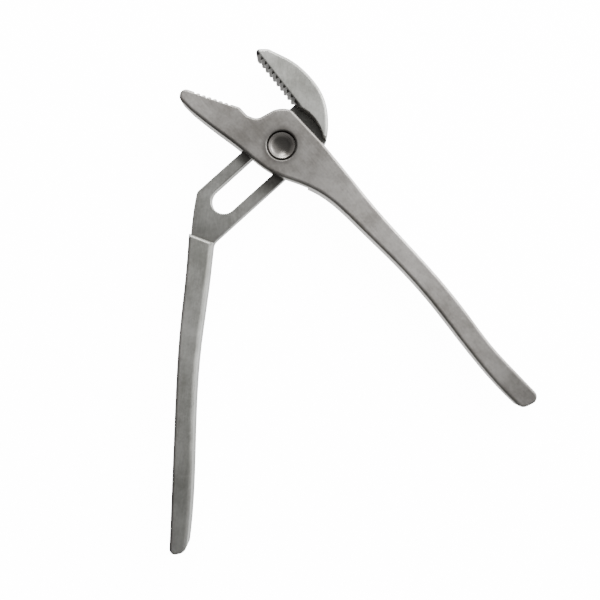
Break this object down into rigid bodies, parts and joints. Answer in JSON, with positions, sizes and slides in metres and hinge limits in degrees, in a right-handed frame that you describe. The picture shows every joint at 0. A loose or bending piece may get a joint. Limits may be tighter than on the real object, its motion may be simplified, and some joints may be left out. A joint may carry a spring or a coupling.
{
  "type": "plier-form nutcracker",
  "caption": "Adjustable plier-form nutcracker: two forged levers with toothed jaws, joined by a bolt that slides along a slot and turns.",
  "frame": {"origin": "on the pivot axis at the end face of the bolt, the lowest point of the tool when it lies on its back", "axes": "+Z along the pivot axis towards the bolt head, +Y towards the jaws, +X towards the front lever's handle side"},
  "size_m": [0.1854, 0.2543, 0.0155],
  "materials": {
    "rear_steel": "satin",
    "front_steel": "satin",
    "bolt_steel": "satin",
    "washer_steel": "satin",
    "nut_steel": "satin"
  },
  "bodies": {
    "rear": {"rear_lever": "rear_steel"},
    "pivot": {"pivot_bolt": "bolt_steel", "pivot_washer": "washer_steel", "pivot_nut": "nut_steel"},
    "front": {"front_lever": "front_steel"}
  },
  "joints": [
    {"name": "pivot_slide", "type": "slide", "parent": "rear", "child": "pivot", "axis": [-0.7431, -0.6691, 0], "range_m": [0, 0.024]},
    {"name": "lever_hinge", "type": "hinge", "parent": "pivot", "child": "front", "pos_m": [0, 0, 0.01], "axis": [0, 0, 1], "range_deg": [-42, 0]}
  ]
}
